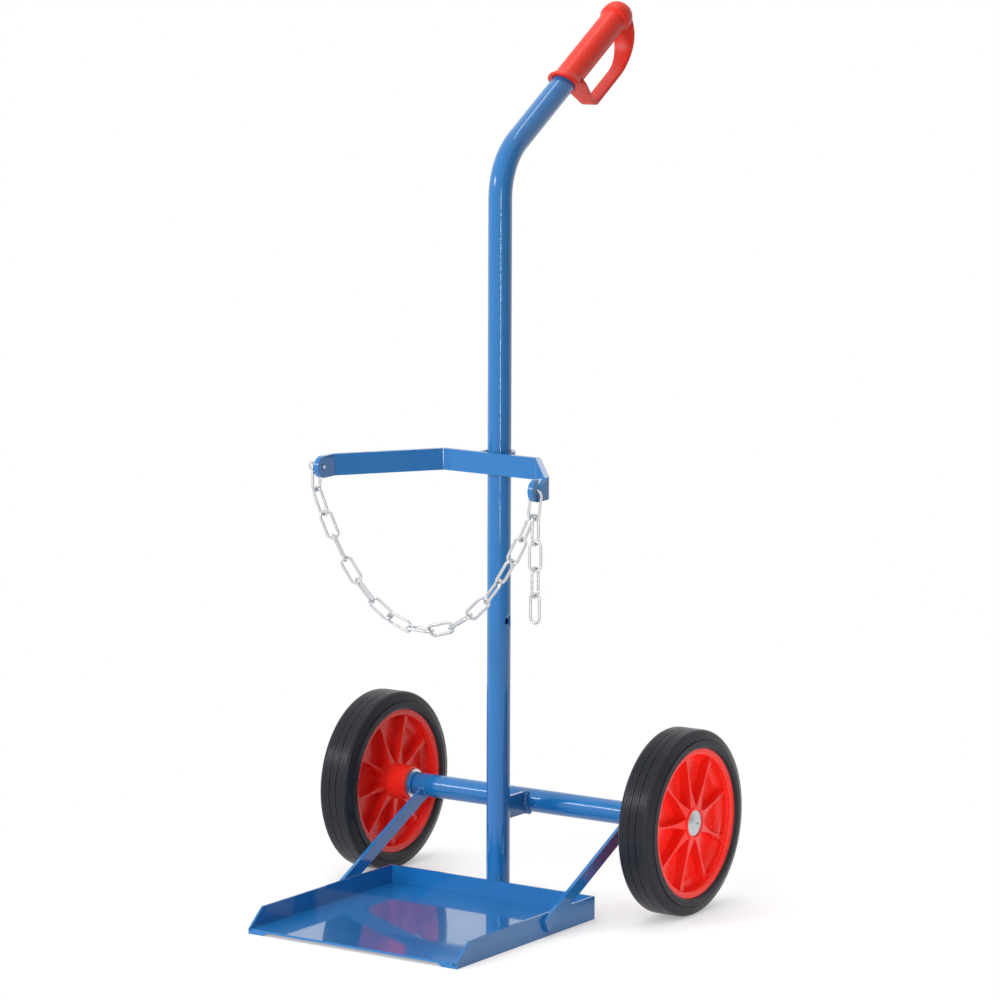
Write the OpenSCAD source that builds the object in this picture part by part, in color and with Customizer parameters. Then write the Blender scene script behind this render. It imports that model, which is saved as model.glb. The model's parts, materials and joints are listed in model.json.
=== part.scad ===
// Torch cart: a single-post hand truck for gas cylinders, with a tray, two rubber-tyred
// wheels, a retaining bar with a safety chain, and a guarded hand grip.
// +Z is up, the tray points to -Y, the handle leans to +Y, and X = 0 is the plane of symmetry.
// The origin is on the floor, midway between the tray's front edge and the back of the
// handle guard. Inside the modules, Y is counted from the axis of the post.

/* [Post and handle] */
// Outside diameter of the post tube
post_d = 32; // [30:0.5:34]
// Wall of the post and axle tubes
tube_wall = 2; // [1.5:0.5:3]
// Height of the post's open foot above the floor
post_foot_z = 4; // [2:1:6]
// Height at which the post axis and the handle axis would cross
corner_z = 996; // [900:2:1100]
// Lean of the handle from upright, in degrees
handle_tilt = 57; // [50:1:62]
// Centreline radius of the bend in the post
bend_r = 90; // [80:1:110]
// Distance of the post axis behind the origin
post_y = 15.6; // [0:0.1:30]
// Diameter of the spare cross hole for a lower bracket position
cross_hole_d = 8.5; // [8:0.1:9]
// Height of the spare cross hole
cross_hole_z = 383.5; // [300:0.5:450]
// Width of the pressed hollow round the spare cross hole
dimple_d = 21; // [18:1:22]

/* [Hand grip] */
// Distance of the grip's mouth from the corner of the two axes
grip_start = 181; // [170:1:200]
// Outside diameter of the sleeve
sleeve_d = 36; // [35:0.5:38]
// Outside diameter of the collar at the mouth
collar_d = 45; // [40:0.5:46]
// Outside diameter of the domed cap
cap_d = 43; // [40:0.5:44]
// Slant of the collar and of the guard's lower leg, in degrees
grip_slant = 20; // [10:1:25]
// Width of the guard band along its far side
guard_w = 20; // [16:1:26]
// Width to which the guard band spreads towards the sleeve
guard_root_w = 38; // [30:1:40]
// Thickness of the guard band
guard_t = 5; // [4:0.5:7]
// Distance of the guard's outer face from the grip axis
guard_reach = 65; // [60:0.5:68]
// Distance from the corner at which the guard starts to curve over
guard_crown = 296; // [280:1:305]

/* [Wheels and axle] */
// Distance of the axle behind the post axis
axle_y = 76.6; // [70:0.1:90]
// Outside diameter of the tyres
wheel_d = 250; // [230:1:260]
// Distance of each wheel's middle plane from the plane of symmetry
wheel_x = 241.6; // [235:0.1:250]
// Outside diameter of the axle tube
axle_tube_d = 32; // [28:1:36]
// Distance of the axle tube's ends from the plane of symmetry
axle_tube_end = 184.5; // [180:0.5:190]
// Diameter of the axle shaft
shaft_d = 20; // [18:1:22]
// Diameter of the rim at its outer edge
rim_d = 200; // [190:1:205]
// Width of the rim from face to face
rim_w = 46; // [40:1:50]
// Thickness of the rim's middle web
web_t = 4.5; // [3:0.5:6]
// Number of ribs on each face of the web
rib_count = 9; // [6:1:12]
// Thickness of a rib at its thinnest place
rib_t = 3; // [2:0.5:5]
// Bore of the hub
hub_bore_d = 30; // [29:1:31]
// Number of rollers in each hub
roller_count = 10; // [6:1:12]

/* [Tray and struts] */
// Width of the tray over its side flanges
tray_w = 330; // [300:1:360]
// Distance of the tray's front edge ahead of the post axis
tray_front = 339.4; // [300:0.1:380]
// Thickness of the tray's sheet
sheet_t = 3; // [2:0.5:4]
// Height of the flanges' top edges above the floor
flange_z = 31.1; // [25:0.1:45]
// Length of the sloped front end of each side flange
flange_slope = 28.5; // [10:0.5:40]
// Width of the two skids under the tray
skid_w = 30; // [20:1:40]
// Thickness of the skids
skid_t = 4; // [3:0.5:6]
// Width of the strut bars
strut_w = 18.5; // [15:0.5:25]
// Thickness of the strut bars
strut_t = 5; // [4:0.5:6]

/* [Retaining bar] */
// Height of the bar's cross bolt above the floor
bar_z = 597.8; // [500:0.1:700]
// Height of the flat bar
bar_h = 29; // [25:1:35]
// Thickness of the flat bar
bar_t = 7; // [6:0.5:7]
// Half width of the bar's straight middle, between its folds
bar_mid = 73; // [60:1:90]
// Distance between each tab's middle and the plane of symmetry
tab_x = 168.8; // [150:0.1:180]
// Distance from the bar's front face to the start of each tab
arm_depth = 121; // [90:1:130]
// Distance of the chain's holes ahead of the post axis
hook_y = 168.5; // [155:0.5:175]
// Inside radius of the bar's folds
fold_r = 5; // [3:1:8]
// Downward droop of the bar about its cross bolt, in degrees
bar_droop = 1.5; // [0:0.1:3]
// Sideways tilt of the bar with its left side up, in degrees
bar_roll = 0.9; // [0:0.1:1.5]
// Width of the notch that takes the chain's end link, at its seat
slot_w = 8; // [7:0.5:10]
// Diameter of the cross bolt
bolt_d = 8; // [6:1:8]

/* [Chain] */
// Diameter of the link wire
wire_d = 4; // [3.5:0.1:4.5]
// Inside length of one link, which is the pitch of the chain
link_pitch = 33.7; // [30:0.1:36]
// Outside width of one link
link_w = 18.5; // [17.5:0.5:20]
// Number of links that hang in the drape between the two end links
drape_count = 15; // [15:1:15]
// Number of links in the loose tail
tail_count = 4; // [2:1:4]
// Play between two linked wires
link_play = 0.2; // [0.1:0.05:0.3]

/* [Hidden] */
$fn = 64;
slip = 0.05;
turn_gap = 0.3;

// Post and handle
post_r = post_d / 2;
bend_len = bend_r * tan(handle_tilt / 2);
bend_z = corner_z - bend_len;
bend_lap = 0.6;
hair = 0.05;
tube_end = guard_crown + 20;
dimple_depth = 3;

// Hand grip, along the handle axis
cap_z = guard_crown + 42;
cap_dome_z = guard_crown + 43;
guard_lift = tan(grip_slant);
guard_outer_z = grip_start + 12.7;
guard_inner_z = guard_outer_z + 6.5;
guard_corner_r = 13;

// Wheels, across from the wheel's middle plane and out from its axis
axle_z = wheel_d / 2;
rim_r = rim_d / 2;
rim_face = rim_w / 2;
web_face = web_t / 2;
wall_r = rim_r - 8;
wall_lean = 20;
seat_r = rim_r - 5;
hub_root_r = 25;
hub_face_r = 21;
hub_neck_r = 28;
hub_end_r = 22.5;
hub_outer = rim_face - 0.6;
hub_inner = wheel_x - axle_tube_end - 9.6;
cap_r = 17.3;
cap_recess = 1.4;
rib_low = 15;
rib_low_r = 85;
rib_arch_r = 375;
rib_waist_r = 60;
rib_side_r = 136;
shaft_r = shaft_d / 2;
hub_bore_r = hub_bore_d / 2;
roller_pitch_r = (shaft_r + hub_bore_r) / 2;
roller_r = (hub_bore_r - shaft_r) / 2 - slip;
roller_len = 56;
cage_len = 62;
bearing_shift = (hub_inner - hub_outer + cap_recess) / 2;
cage_wall = 2.4;
tread_r = wheel_d / 2;

// Axle, out from the plane of symmetry
bush_gap = 2.2;
bush_flange = 3.8;
bush_x = axle_tube_end + bush_gap;
washer_x = bush_x + bush_flange + 0.1;
washer_t = wheel_x - hub_inner - turn_gap - washer_x;

// Tray and struts
tray_half = tray_w / 2;
tray_back = post_r;
strut_low_y = -143.7;
strut_low_z = 23.2;
strut_high_y = axle_y - axle_tube_d / 2 * 1.02;
strut_angle = atan2(axle_z - strut_low_z, strut_high_y - strut_low_y);
strut_len = norm([axle_z - strut_low_z, strut_high_y - strut_low_y]) + 9;

// Retaining bar
bar_back = post_r + 0.6;
saddle_r = post_r + 0.6;
saddle_t = 5;
tab_in = tab_x - bar_t / 2;
arm_angle = atan2(arm_depth, tab_in - bar_mid);
hook_plane = hook_y * cos(bar_droop);
seat_depth = 5;
bolt_hex = 13;
bolt_washer_t = 1.6;
screw_d = 6;
screw_head = 4;
screw_end = tab_x + 18.8;

// Chain
link_bend = (link_w - wire_d) / 2;
link_reach = link_pitch + link_play + wire_d;
link_straight = link_reach - 2 * link_bend;
end_turn = 12;
end_lean = 7.2;
end_top = [tab_x + 0.8, hook_height(tab_x + 0.8)];
end_low = end_top - link_reach * [sin(end_lean), cos(end_lean)];
chain_y = -hook_plane - 0.5;
tail_y = -hook_plane + 0.6;
screw_link_x = -tab_x - 9;
screw_link_top = hook_height(screw_link_x) + screw_d / 2 + 0.25;
drape_from = [screw_link_x - 0.5, screw_link_top - link_pitch];
drape_to = end_low + [-2.5, 3.45];
tail_from = end_low + [2.9, 3.35];

// Roll of each hanging link about its own length, from the screw to the notch
drape_rolls = [-86, 12, -46, 62, -19, 40, -58, 10, 90, 19, -72, 23, -43, 73, 15, 90];

// Roll of each link of the tail, from the top
tail_rolls = [-90, -32, -90, 4];

// ---------------------------------------------------------------- helpers

function drape_name(i) = str("chain_link_", i < 10 ? "0" : "", i);
function tail_name(i) = str("tail_link_", i);

function cosh(x) = (exp(x) + exp(-x)) / 2;
function sinh(x) = (exp(x) - exp(-x)) / 2;
function asinh(x) = ln(x + sqrt(x * x + 1));
function atanh(x) = ln((1 + x) / (1 - x)) / 2;

// Height of the line through the chain's two holes, which tilts with the bar
function hook_height(x) = bar_z - hook_y * sin(bar_droop) - x * sin(bar_roll) * cos(bar_droop);

// Points on an arc of a section, from angle a0 to a1 in n steps
function arc(c, r, a0, a1, n) =
    [for (i = [0:n]) let (a = a0 + (a1 - a0) * i / n) c + r * [cos(a), sin(a)]];

// Moves a piece from the post axis into the cart's frame
module cart_frame() {
    translate([0, post_y, 0]) children();
}

// Z runs up the handle axis from the corner, and Y points to its underside
module handle_frame() {
    translate([0, 0, corner_z]) rotate([-handle_tilt, 0, 0]) children();
}

// The right side as drawn, or its mirror image for the left side
module on_side(side) {
    mirror([side < 0 ? 1 : 0, 0, 0]) children();
}

// A solid of revolution about the axle, whose section is drawn as [radius, distance out]
module about_axle(x = 0) {
    translate([x, axle_y, axle_z]) rotate([0, 90, 0]) children();
}

module across(x, y, z) {
    translate([x, y, z]) rotate([0, 90, 0]) children();
}

// ------------------------------------------------------- post and handle

// The post's path as a solid rod: upright, bend and handle, lengthened at both ends.
// The bend is a hair thinner than the straights and laps a little way into both of them.
module post_rod(r, longer = 0) {
    translate([0, 0, post_foot_z - longer]) cylinder(r = r, h = bend_z - post_foot_z + longer);
    translate([0, bend_r, bend_z]) rotate([90, 0, -90]) rotate(-bend_lap)
        rotate_extrude(angle = handle_tilt + 2 * bend_lap) translate([bend_r, 0]) circle(r = r - hair);
    handle_frame() translate([0, 0, bend_len]) cylinder(r = r, h = tube_end - bend_len + longer);
}

// A hollow pressed into the tube round the spare hole, on the side that X points to
module dimple_cut() {
    translate([post_r - dimple_depth, 0, cross_hole_z]) rotate([0, 90, 0])
        cylinder(r1 = cross_hole_d / 2, r2 = dimple_d / 2 + 1, h = dimple_depth + 1);
}

// The wall that the press pushes inward behind the hollow
module dimple_wall() {
    intersection() {
        translate([0, 0, cross_hole_z - dimple_d / 2]) cylinder(r = post_r - 0.5, h = dimple_d);
        translate([post_r - dimple_depth - tube_wall, 0, cross_hole_z]) rotate([0, 90, 0])
            cylinder(d = dimple_d - 3, h = dimple_depth + tube_wall);
    }
}

module post() {
    color("#2f6fb3") difference() {
        union() {
            difference() {
                post_rod(post_r);
                post_rod(post_r - tube_wall, 1);
            }
            for (side = [-1, 1]) on_side(side) dimple_wall();
        }
        for (side = [-1, 1]) on_side(side) dimple_cut();
        across(-post_r - 1, 0, cross_hole_z) cylinder(d = cross_hole_d, h = post_d + 2);
        across(-post_r - 1, 0, bar_z) cylinder(d = bolt_d + 1, h = post_d + 2);
    }
}

// Outline of the guard band in the plane of symmetry, as [distance below axis, distance up]
module guard_outline() {
    r = guard_corner_r;
    corner_y = guard_reach - r;
    corner_z0 = guard_outer_z + guard_lift * corner_y + r / cos(grip_slant);
    difference() {
        union() {
            polygon(concat(
                [[0, cap_z], [0, guard_outer_z]],
                arc([corner_y, corner_z0], r, grip_slant - 90, 0, 8),
                [[guard_reach, guard_crown], [0, guard_crown]]));
            intersection() {
                translate([0, guard_crown]) circle(r = guard_reach, $fn = 96);
                translate([0, guard_crown - 1]) square([guard_reach + 1, guard_reach]);
            }
        }
        guard_opening();
    }
}

// The finger opening between the sleeve and the guard band
module guard_opening() {
    r = guard_corner_r - guard_t / 2;
    inner_reach = guard_reach - guard_t;
    corner_y = inner_reach - r;
    corner_z0 = guard_inner_z + guard_lift * corner_y + r / cos(grip_slant);
    intersection() {
        polygon(concat(
            [[0, guard_inner_z]],
            arc([corner_y, corner_z0], r, grip_slant - 90, 0, 8),
            [[inner_reach, cap_z], [0, cap_z]]));
        union() {
            translate([0, guard_crown]) circle(r = inner_reach, $fn = 96);
            square([inner_reach, guard_crown]);
        }
    }
}

// Width of the guard band at a distance below the grip's axis
function band_width(y) = guard_root_w + (guard_w - guard_root_w) * y / guard_reach;

// The guard band: its outline across the full width, between two sides that close in
module guard_band() {
    half = band_width(0) / 2;
    far = guard_reach + 1;
    intersection() {
        translate([-half, 0, 0]) rotate([90, 0, 90]) linear_extrude(2 * half) guard_outline();
        translate([0, 0, grip_start - 10]) linear_extrude(2 * guard_reach + 60)
            polygon([[-half, 0], [half, 0], [band_width(far) / 2, far], [-band_width(far) / 2, far]]);
    }
}

// The slanted collar that stiffens the grip's mouth
module grip_collar() {
    translate([0, 0, grip_start]) rotate([grip_slant, 0, 0]) {
        cylinder(d = collar_d, h = 5);
        translate([0, 0, 5]) cylinder(d1 = collar_d, d2 = sleeve_d, h = 5);
    }
}

// The domed end, drawn out into the top of the guard
module grip_cap() {
    band_r = guard_reach - guard_t / 2;
    translate([0, 0, cap_z]) cylinder(d = cap_d, h = cap_dome_z - cap_z);
    hull() {
        translate([0, 0, cap_dome_z]) sphere(d = cap_d, $fn = 32);
        for (turn = [22, 40])
            translate([0, band_r * sin(turn), guard_crown + band_r * cos(turn)]) rotate([0, 90, 0])
                cylinder(d = guard_t - 0.8, h = band_width(band_r * sin(turn)) - 1.5, center = true, $fn = 32);
    }
}

module hand_grip() {
    color("#e0301e") handle_frame() difference() {
        union() {
            grip_collar();
            translate([0, 0, grip_start]) cylinder(d = sleeve_d, h = cap_z - grip_start + 1);
            guard_band();
            grip_cap();
        }
        translate([0, 0, grip_start - 20]) cylinder(r = post_r + slip, h = tube_end - grip_start + 21);
    }
}

// ------------------------------------------------------- axle and wheels

module axle_tube() {
    color("#2f6fb3") about_axle(-axle_tube_end) difference() {
        cylinder(d = axle_tube_d, h = 2 * axle_tube_end);
        translate([0, 0, -1]) cylinder(d = axle_tube_d - 2 * tube_wall, h = 2 * axle_tube_end + 2);
    }
}

// The plate between post and axle tube, its ends cut to the round of both
module axle_link_plate() {
    plate_t = 6;
    plate_z = 109;
    plate_h = 30;
    color("#2f6fb3") difference() {
        translate([-plate_t / 2, 0, plate_z]) cube([plate_t, axle_y, plate_h]);
        translate([0, 0, plate_z - 1]) cylinder(d = post_d, h = plate_h + 2);
        about_axle(-plate_t) cylinder(d = axle_tube_d, h = 2 * plate_t);
    }
}

module axle_shaft() {
    shaft_end = wheel_x + hub_outer - 0.5;
    color("silver") about_axle(-shaft_end) cylinder(d = shaft_d, h = 2 * shaft_end);
}

// A flanged bush pressed into the axle tube's end, which holds the shaft in the middle
module end_bush() {
    neck = 25;
    color("#2a5f9e") about_axle(bush_x - neck) difference() {
        union() {
            cylinder(d = axle_tube_d - 2 * tube_wall - 2 * slip, h = neck + 0.5);
            translate([0, 0, neck]) cylinder(d = axle_tube_d + 0.5, h = bush_flange);
        }
        translate([0, 0, -1]) cylinder(d = shaft_d + 2 * slip, h = neck + bush_flange + 2);
    }
}

module axle_washer() {
    color("silver") about_axle(washer_x) difference() {
        cylinder(d = 40, h = washer_t);
        translate([0, 0, -1]) cylinder(d = shaft_d + 0.6, h = washer_t + 2);
    }
}

// A fine notch round the tread
function tread_notch(x) = [[tread_r, x - 0.4], [tread_r - 0.4, x], [tread_r, x + 0.4]];

// Half of the tyre's section, from the middle of the tread to the bead, as [radius, distance out]
function tyre_half() = concat(
    [[tread_r, 0]],
    tread_notch(1.8),
    [[tread_r, 4.9], [tread_r - 1.6, 5.2], [tread_r - 1.6, 5.8], [tread_r, 6.1]],
    tread_notch(9.5),
    tread_notch(13.5),
    arc([tread_r - 6.5, 16.5], 6.5, 0, 65, 6),
    [[rim_r + 12.6, 25.4], [rim_r + 12.2, 24.4], [rim_r + 11.6, 24.4], [rim_r + 11.2, 26.2]],
    [[rim_r + 10, 26.8], [rim_r + 3.5, 26.8], [rim_r + 1.4, 25.8]],
    [[rim_r + 0.1, rim_face], [rim_r + 0.1, rim_face - 5], [seat_r + 0.1, rim_face - 7]]);

module tyre() {
    half = tyre_half();
    color("#1b1c1e") about_axle(wheel_x) rotate_extrude($fn = 128)
        polygon(concat(half, [for (i = [len(half) - 1:-1:1]) [half[i][0], -half[i][1]]]));
}

// Half of the rim's section: seat under the tyre, rounded edge, sloped wall, fillet and web
module rim_half_section() {
    edge_r = 4;
    fillet_r = 10;
    drop = rim_face - edge_r - edge_r * sin(wall_lean) - web_face - fillet_r * (1 + sin(wall_lean));
    fillet_x = rim_r - 4.5 - (edge_r + fillet_r) * cos(wall_lean) - drop * tan(wall_lean);
    polygon(concat(
        [[hub_face_r - 1, 0], [seat_r, 0], [seat_r, rim_face - 7], [rim_r, rim_face - 5], [rim_r, rim_face]],
        arc([rim_r - 4.5, rim_face - edge_r], edge_r, 90, 180 + wall_lean, 6),
        arc([fillet_x, web_face + fillet_r], fillet_r, wall_lean, -90, 8),
        [[hub_face_r - 1, web_face]]));
}

// One pocket between two ribs: the lens between two large arcs
module rib_pocket() {
    half_turn = 180 / rib_count;
    reach = rib_side_r + rib_t / 2;
    intersection_for (side = [-1, 1])
        rotate(side * half_turn) translate([rib_waist_r, -side * reach]) circle(r = rib_side_r, $fn = 128);
}

// The ribs' plan: a disc with one pocket cut out between each two ribs
module rib_plan() {
    difference() {
        circle(r = wall_r - 1);
        for (i = [0:rib_count - 1]) rotate(360 / rib_count * i) rib_pocket();
    }
}

// The ribs of one face, under an arch that dips from the hub to the wall
module ribs() {
    intersection() {
        linear_extrude(rim_face) rib_plan();
        rotate_extrude($fn = 96) difference() {
            translate([hub_face_r - 1, 0]) square([wall_r - hub_face_r, rim_face]);
            translate([rib_low_r, rib_low + rib_arch_r]) circle(r = rib_arch_r, $fn = 200);
        }
    }
}

// The rim, with its ribs turned by an angle
module rim(turned) {
    color("#e0301e") about_axle(wheel_x) difference() {
        union() {
            rotate_extrude($fn = 128) rim_half_section();
            rotate_extrude($fn = 128) mirror([0, 1]) rim_half_section();
            for (face = [0, 1]) mirror([0, 0, face]) rotate(turned) ribs();
            cylinder(r1 = hub_root_r, r2 = hub_face_r, h = hub_outer);
            rotate([180, 0, 0]) cylinder(r1 = hub_neck_r, r2 = hub_end_r, h = hub_inner - 1.5);
            translate([0, 0, -hub_inner]) cylinder(r1 = hub_end_r - 1.5, r2 = hub_end_r, h = 1.5);
        }
        translate([0, 0, -hub_inner - 1]) cylinder(r = hub_bore_r, h = hub_inner + rim_w);
        translate([0, 0, hub_outer - cap_recess]) cylinder(r = cap_r + 1, h = rim_w);
    }
}

// Roller cage: two end rings and the bars between the rollers
module bearing_cage() {
    color("#c9b37e") about_axle(wheel_x - bearing_shift - cage_len / 2) difference() {
        cylinder(r = roller_pitch_r + cage_wall / 2, h = cage_len);
        translate([0, 0, -1]) cylinder(r = roller_pitch_r - cage_wall / 2, h = cage_len + 2);
        for (i = [0:roller_count - 1]) rotate(360 / roller_count * i)
            translate([roller_pitch_r, 0, (cage_len - roller_len) / 2 - 0.2])
                cylinder(r = roller_r + 0.2, h = roller_len + 0.4);
    }
}

module bearing_rollers() {
    color("silver") about_axle(wheel_x - bearing_shift - roller_len / 2)
        for (i = [0:roller_count - 1]) rotate(360 / roller_count * i)
            translate([roller_pitch_r, 0, 0]) cylinder(r = roller_r, h = roller_len);
}

// A domed push-on cap over the shaft's end
module hub_cap() {
    base = hub_outer - cap_recess + turn_gap;
    dome = 4;
    wall = 1.2;
    dome_r = (cap_r * cap_r + dome * dome) / (2 * dome);
    color("silver") about_axle(wheel_x + base) rotate_extrude($fn = 96) difference() {
        intersection() {
            translate([0, dome - dome_r]) circle(r = dome_r, $fn = 200);
            translate([1.5, 0]) square([cap_r, dome]);
        }
        translate([0, -1]) square([shaft_r + slip, 2]);
        translate([0, dome - wall - dome_r]) circle(r = dome_r, $fn = 200);
    }
}

// ------------------------------------------------------- tray and struts

// Side view of a side flange: [distance behind the post axis, height]
module flange_outline() {
    r = 5;
    front = -tray_front;
    slope = atan2(flange_z - skid_t - sheet_t, flange_slope);
    top = front + flange_slope;
    polygon(concat(
        [[-tray_back, skid_t], [front, skid_t], [front, skid_t + sheet_t]],
        arc([top + r * tan(slope / 2), flange_z - r], r, 90 + slope, 90, 4),
        [[-tray_back, flange_z]]));
}

module tray() {
    depth = tray_front - tray_back;
    notch = 2.5;
    color("#2f6fb3") difference() {
        union() {
            translate([-tray_half, -tray_front, skid_t]) cube([tray_w, depth, sheet_t]);
            translate([-tray_half, -tray_back - sheet_t, skid_t]) cube([tray_w, sheet_t, flange_z - skid_t]);
            for (side = [-1, 1]) on_side(side)
                translate([tray_half - sheet_t, 0, 0]) rotate([90, 0, 90])
                    linear_extrude(sheet_t) flange_outline();
        }
        for (side = [-1, 1])
            translate([side * (tray_half - sheet_t - 1), -tray_front, skid_t - 1])
                cylinder(r = notch, h = sheet_t + 2);
    }
}

// A skid whose inner edge is bevelled up to the tray's underside
module skid() {
    bevel = 6;
    color("#2f6fb3") translate([0, -tray_back, 0]) rotate([90, 0, 0]) linear_extrude(tray_front - tray_back)
        polygon([
            [tray_half, 0], [tray_half, skid_t],
            [tray_half - skid_w, skid_t], [tray_half - skid_w + bevel, 0]]);
}

// A flat bar from the side flange up to the axle tube, its upper end cut to the tube's round
module strut() {
    color("#2f6fb3") difference() {
        translate([tray_half, strut_low_y, strut_low_z]) rotate([strut_angle, 0, 0])
            translate([0, 0, -strut_w]) cube([strut_t, strut_len, strut_w]);
        about_axle(tray_half - 1) cylinder(d = axle_tube_d, h = strut_t + 2);
        translate([tray_half - 1, strut_low_y - 20, -strut_w]) cube([strut_t + 2, 60, strut_w]);
    }
}

// ------------------------------------------------------- retaining bar

// The bar's own frame: it droops and tilts a little about its cross bolt
module bar_frame() {
    translate([0, 0, bar_z]) rotate([bar_droop, 0, 0]) rotate([0, bar_roll, 0]) children();
}

// Plan of the bar's right half: its back edge from the middle to the tab, then its front edge
function bar_plan_half() =
    let (
        front = -bar_back - bar_t,
        first = fold_r * tan(arm_angle / 2),
        second = fold_r * tan((90 - arm_angle) / 2),
        fold_1 = [bar_mid - first, front - fold_r],
        fold_2 = [tab_in - fold_r, front - arm_depth - second]
    )
    concat(
        [[0, -bar_back]],
        arc(fold_1, fold_r + bar_t, 90, 90 - arm_angle, 6),
        arc(fold_2, fold_r + bar_t, 90 - arm_angle, 0, 5),
        [[tab_in + bar_t, -hook_y], [tab_in, -hook_y]],
        arc(fold_2, fold_r, 0, 90 - arm_angle, 5),
        arc(fold_1, fold_r, 90 - arm_angle, 90, 6),
        [[0, front]]);

// The folded bar: both halves of its plan in one outline, raised to the bar's height
module folded_bar() {
    half = bar_plan_half();
    translate([0, 0, -bar_h / 2]) linear_extrude(bar_h)
        polygon(concat(half, [for (i = [len(half) - 2:-1:1]) [-half[i][0], half[i][1]]]));
}

// The tab's round end, centred on its hole
module tab_end() {
    across(tab_in, -hook_y, 0) cylinder(d = bar_h, h = bar_t);
}

// Side view of the notch in the right tab: a round seat, and a mouth that flares to the back
// under the hooked nose, as [distance behind the chain's holes, height]
module hook_notch() {
    r = slot_w / 2;
    seat_z = r - seat_depth;
    translate([0, seat_z]) circle(r = r);
    polygon([[-r, seat_z], [1 - r, 4.5], [3.2, bar_h / 2 + 2], [25, bar_h / 2 + 2], [8.5, 5.5], [r, seat_z]]);
}

module retaining_bar() {
    color("#2f6fb3") bar_frame() difference() {
        union() {
            folded_bar();
            for (side = [-1, 1]) on_side(side) tab_end();
        }
        across(-tab_x - bar_t, -hook_y, 0) cylinder(d = screw_d + 2 * slip, h = 2 * bar_t);
        across(-tab_in - 2, -hook_y, 0) cylinder(d1 = screw_d, d2 = screw_d + 4, h = 2);
        translate([tab_x - bar_t, -hook_y, 0]) rotate([90, 0, 90]) linear_extrude(2 * bar_t) hook_notch();
    }
}

// A strap welded to the back of the bar, bent round the post and bolted through it
module bar_saddle() {
    color("#2f6fb3") bar_frame() difference() {
        union() {
            translate([0, 0, -bar_h / 2]) cylinder(r = saddle_r + saddle_t, h = bar_h);
            translate([-saddle_r - saddle_t, -bar_back, -bar_h / 2])
                cube([2 * (saddle_r + saddle_t), bar_back, bar_h]);
        }
        translate([0, 0, -bar_h]) cylinder(r = saddle_r, h = 2 * bar_h);
        translate([-saddle_r, -2 * bar_back, -bar_h]) cube([2 * saddle_r, 2 * bar_back, 2 * bar_h]);
        translate([-50, -bar_back - 50, -bar_h]) cube([100, 50, 2 * bar_h]);
        across(-50, 0, 0) cylinder(d = bolt_d + 0.5, h = 100);
    }
}

module hexagon(width, height) {
    cylinder(d = width / cos(30), h = height, $fn = 6);
}

module saddle_bolt() {
    head = saddle_r + saddle_t + bolt_washer_t;
    color("silver") bar_frame() {
        across(-head, 0, 0) cylinder(d = bolt_d, h = 2 * head + 9);
        across(-head - 5.3, 0, 0) hexagon(bolt_hex, 5.3);
    }
}

module saddle_nut() {
    face = saddle_r + saddle_t + bolt_washer_t;
    color("silver") bar_frame() difference() {
        across(face, 0, 0) hexagon(bolt_hex, 6.5);
        across(face - 1, 0, 0) cylinder(d = bolt_d + 2 * slip, h = 9);
    }
}

module saddle_washers() {
    color("silver") bar_frame() for (side = [-1, 1]) on_side(side) difference() {
        across(saddle_r + saddle_t, 0, 0) cylinder(d = 16, h = bolt_washer_t);
        across(saddle_r, 0, 0) cylinder(d = bolt_d + 0.4, h = 10);
    }
}

// The screw in the left tab: the first link of the chain hangs on its shank
module chain_screw() {
    shank = screw_end - screw_head;
    color("silver") bar_frame() {
        across(-shank, -hook_y, 0) cylinder(d = screw_d, h = shank - tab_in - 0.2);
        across(-screw_end, -hook_y, 0) hexagon(10, screw_head);
    }
}

module chain_screw_washer() {
    inner = screw_end - screw_head;
    color("silver") bar_frame() difference() {
        across(-inner, -hook_y, 0) cylinder(d = 12, h = 1.6);
        across(-inner - 1, -hook_y, 0) cylinder(d = screw_d + 0.4, h = 4);
    }
}

// ------------------------------------------------------- chain

// One closed link in the X-Z plane, its long axis along X
module link_ring() {
    color("gainsboro") for (side = [-1, 1]) {
        translate([-link_straight / 2, 0, side * link_bend]) rotate([0, 90, 0])
            cylinder(d = wire_d, h = link_straight, $fn = 32);
        translate([side * link_straight / 2, 0, 0]) rotate([90, side * 90, 0])
            rotate_extrude(angle = 180) translate([link_bend, 0]) circle(d = wire_d, $fn = 32);
    }
}

// A link between two contact points [X, Z], rolled about the line between them
module link_between(a, b, roll, y = chain_y) {
    mid = (a + b) / 2;
    translate([mid[0], y, mid[1]])
        rotate([0, -atan2(b[1] - a[1], b[0] - a[0]), 0]) rotate([roll, 0, 0]) link_ring();
}

// The catenary that hangs between two points with a given length: its parameter by bisection
drape_span = drape_to - drape_from;
drape_len = drape_count * link_pitch + 1.4;
drape_flat = sqrt(drape_len * drape_len - drape_span[1] * drape_span[1]);

function catenary_size(low, high, steps) =
    let (mid = (low + high) / 2)
    steps == 0 ? mid
    : 2 * mid * sinh(drape_span[0] / (2 * mid)) > drape_flat ? catenary_size(mid, high, steps - 1)
    : catenary_size(low, mid, steps - 1);

drape_a = catenary_size(20, 1000, 40);
drape_low_x = (drape_from[0] + drape_to[0]) / 2 - drape_a * atanh(drape_span[1] / drape_len);
drape_start_u = (drape_from[0] - drape_low_x) / drape_a;

// Contact point i of the drape, counted from the left end: [X, Z]
function drape_point(i) =
    let (u = asinh(sinh(drape_start_u) + drape_len * i / drape_count / drape_a))
    [drape_low_x + drape_a * u, drape_from[1] + drape_a * (cosh(u) - cosh(drape_start_u))];

module drape_link(i) {
    if (i == 1)
        link_between([screw_link_x, screw_link_top], drape_from, drape_rolls[0]);
    else if (i <= drape_count + 1)
        link_between(drape_point(i - 2), drape_point(i - 1), drape_rolls[i - 1]);
    else
        end_link();
}

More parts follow.
